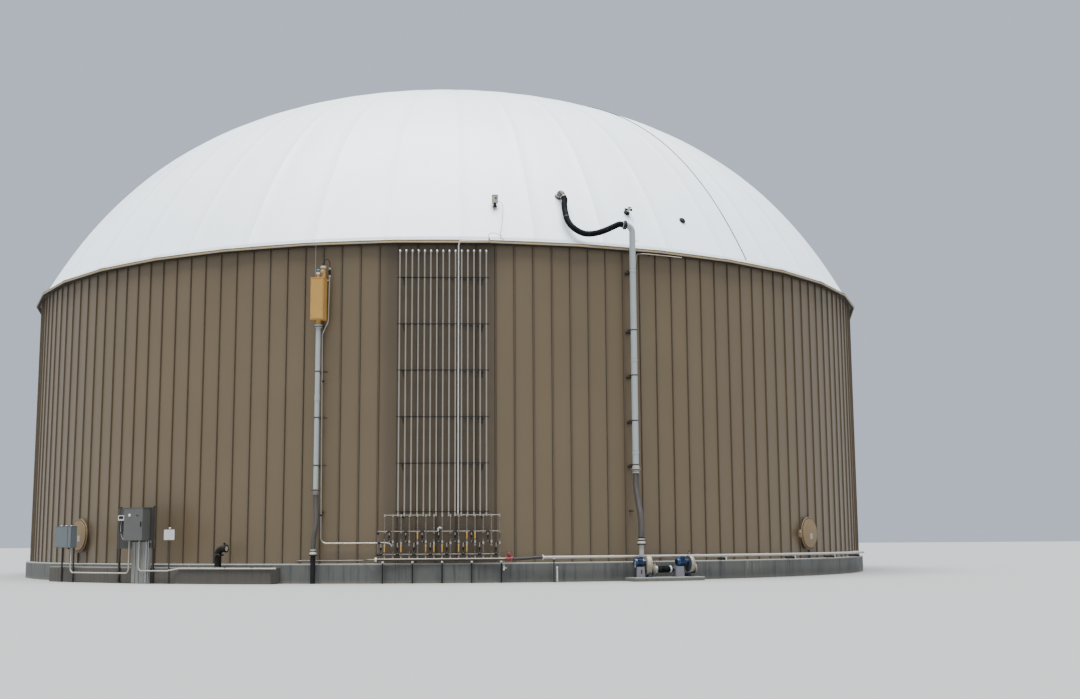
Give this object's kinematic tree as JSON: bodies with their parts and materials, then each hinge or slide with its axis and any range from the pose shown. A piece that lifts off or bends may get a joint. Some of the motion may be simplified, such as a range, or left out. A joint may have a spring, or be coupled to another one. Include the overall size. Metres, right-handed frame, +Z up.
{
  "type": "biogas digester",
  "caption": "Insulated round digester tank with ribbed cladding and a white membrane gas dome, with wall pipework, manifold, blowers and cabinets.",
  "frame": {"origin": "on the tank's axis at the level of the lowest ground, at the centre of the floor slab's underside", "axes": "+Z up along the tank's axis; -Y faces the side with the pipe rack, +X is to the right seen from there"},
  "size_m": [34.312, 34.4715, 19.964],
  "materials": {
    "concrete": "cast, matt",
    "cladding": "satin coil coat",
    "trim": "satin coil coat",
    "membrane": "coated, smooth",
    "grey_pipe": "satin",
    "stainless": "brushed",
    "grey_hose": "matt",
    "black_rubber": "matt",
    "black_iron": "painted, matt",
    "golden_paint": "satin",
    "blue_paint": "gloss",
    "beige_paint": "satin",
    "red_paint": "gloss",
    "cabinet_grey": "satin",
    "strut": "galvanised, dull",
    "white_plastic": "satin"
  },
  "bodies": {
    "root": {"base_connector_hose": "black_rubber", "base_pipe": "grey_pipe", "blower_1_base": "cabinet_grey", "blower_1_casing": "beige_paint", "blower_1_motor": "blue_paint", "blower_2_base": "cabinet_grey", "blower_2_casing": "beige_paint", "blower_2_motor": "blue_paint", "blower_duct": "black_rubber", "blower_pad": "concrete", "breather_pipe": "black_iron", "condensate_line": "stainless", "conduit_left": "white_plastic", "conduit_right": "white_plastic", "control_cabinet": "stainless", "dome_cable": "black_rubber", "dome_port": "black_iron", "eave_conduit": "white_plastic", "eave_trim": "trim", "feed_line": "stainless", "floor_slab": "concrete", "foundation_ring": "concrete", "gas_dome_fitting": "stainless", "gas_hose_lower": "grey_hose", "gas_hose_upper": "black_rubber", "gas_inlet_pipe": "grey_pipe", "gas_riser": "grey_pipe", "gate_valve": "red_paint", "junction_box": "cabinet_grey", "junction_stand": "strut", "level_sensor_box": "cabinet_grey", "main_header": "stainless", "manifold": "stainless", "manway_cover_left": "golden_paint", "manway_cover_right": "golden_paint", "meter_box": "white_plastic", "panel_stand": "strut", "post_plate": "cabinet_grey", "relief_hose": "grey_hose", "relief_housing": "golden_paint", "relief_pipe": "grey_pipe", "relief_stub": "black_iron", "relief_vent": "golden_paint", "riser_rack": "stainless", "roof_membrane": "membrane", "sampling_valve": "black_iron", "service_kerb": "concrete", "tank_wall_1": "concrete", "tank_wall_2": "concrete", "tank_wall_3": "concrete", "tank_wall_4": "concrete", "tank_wall_5": "concrete", "wall_cladding_1": "cladding", "wall_cladding_2": "cladding", "wall_cladding_3": "cladding", "wall_cladding_4": "cladding", "wall_cladding_5": "cladding"}
  },
  "joints": []
}
